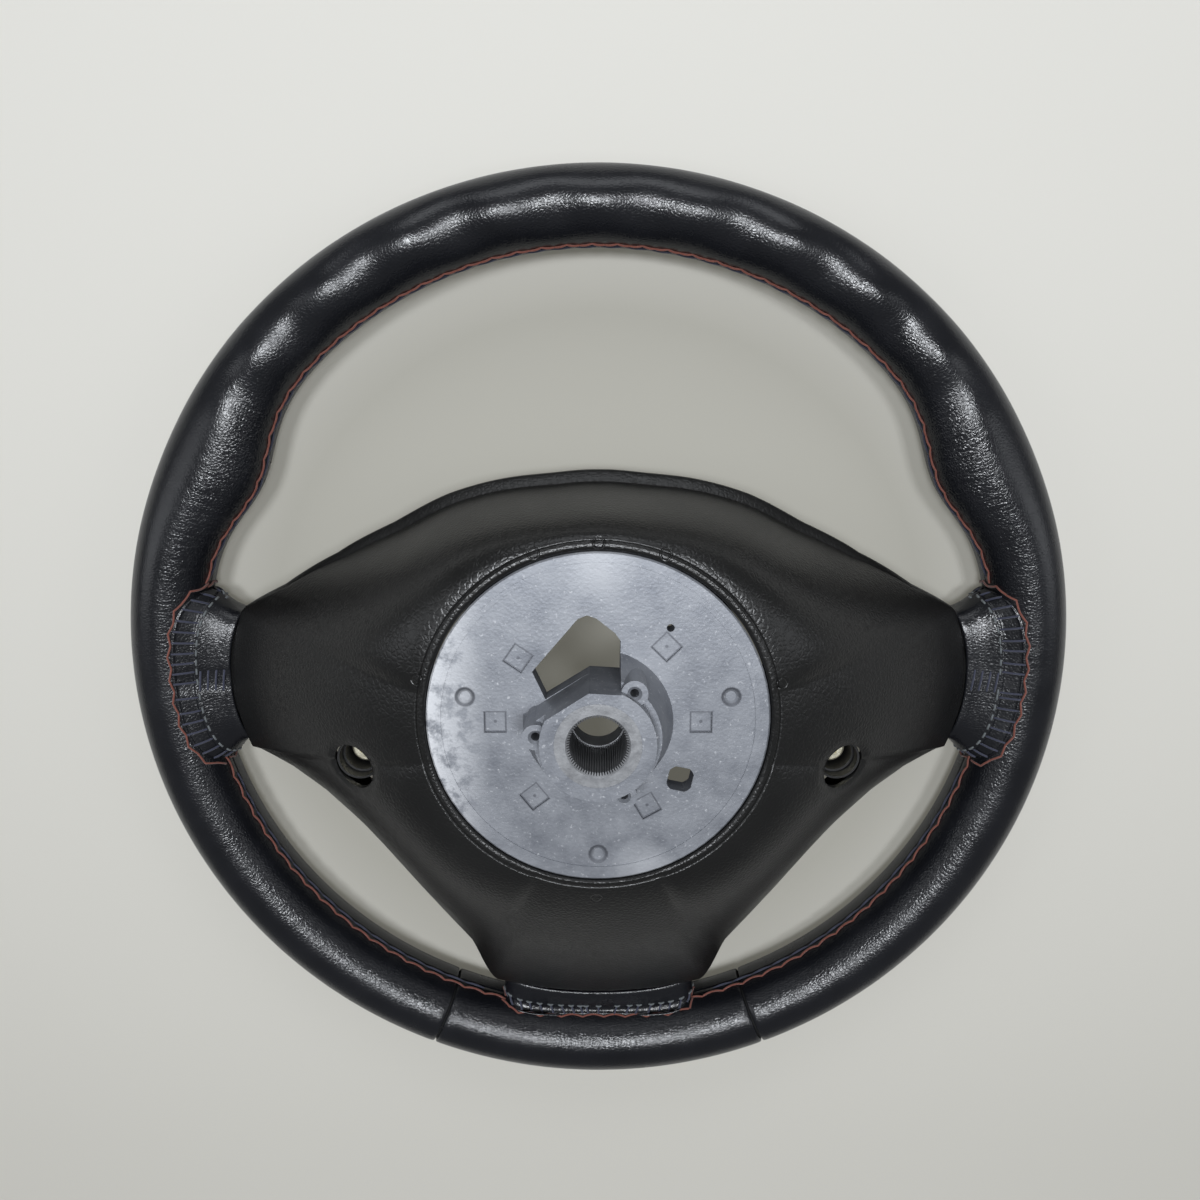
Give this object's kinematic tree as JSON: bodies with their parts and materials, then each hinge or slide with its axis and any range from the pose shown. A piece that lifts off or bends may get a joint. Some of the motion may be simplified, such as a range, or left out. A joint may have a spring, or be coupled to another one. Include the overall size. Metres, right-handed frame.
{
  "type": "car steering wheel",
  "caption": "Three spoke leather steering wheel without its airbag, with cast hub plate, splined boss, moulded shroud and two captive airbag screws",
  "frame": {"origin": "on the wheel axis, in the plane that the front of the rim rests on", "axes": "+X to the right of the column side with the wheel's top away from the viewer, +Y to the top of the wheel (12 o'clock), +Z along the axis toward the steering column"},
  "size_m": [0.3798, 0.3798, 0.1155],
  "materials": {
    "cast_alloy": "bare die casting, slightly oxidised",
    "bush_steel": "broached steel with a trace of rust",
    "core_steel": "plain steel tube inside the rim",
    "foam": "moulded foam core",
    "shroud_skin": "soft touch black skin with leather like grain",
    "rim_leather": "black leather, satin",
    "thread": "rust red sewing thread",
    "black_plastic": "moulded black plastic",
    "zinc": "yellow zinc plating",
    "spring_steel": "spring steel"
  },
  "bodies": {
    "root": {"armature": "cast_alloy", "rim_core": "core_steel", "splined_bush": "bush_steel", "rim_foam": "foam", "rear_shroud": "shroud_skin", "leather_upper": "rim_leather", "leather_lower": "rim_leather", "collar_left": "rim_leather", "collar_right": "rim_leather", "collar_bottom": "rim_leather", "rim_thread": "thread", "screw_sleeve_left": "black_plastic", "screw_sleeve_right": "black_plastic", "airbag_screw_left": "zinc", "airbag_screw_right": "zinc", "screw_spring_left": "spring_steel", "screw_spring_right": "spring_steel", "screw_clip_left": "spring_steel", "screw_clip_right": "spring_steel"}
  },
  "joints": []
}
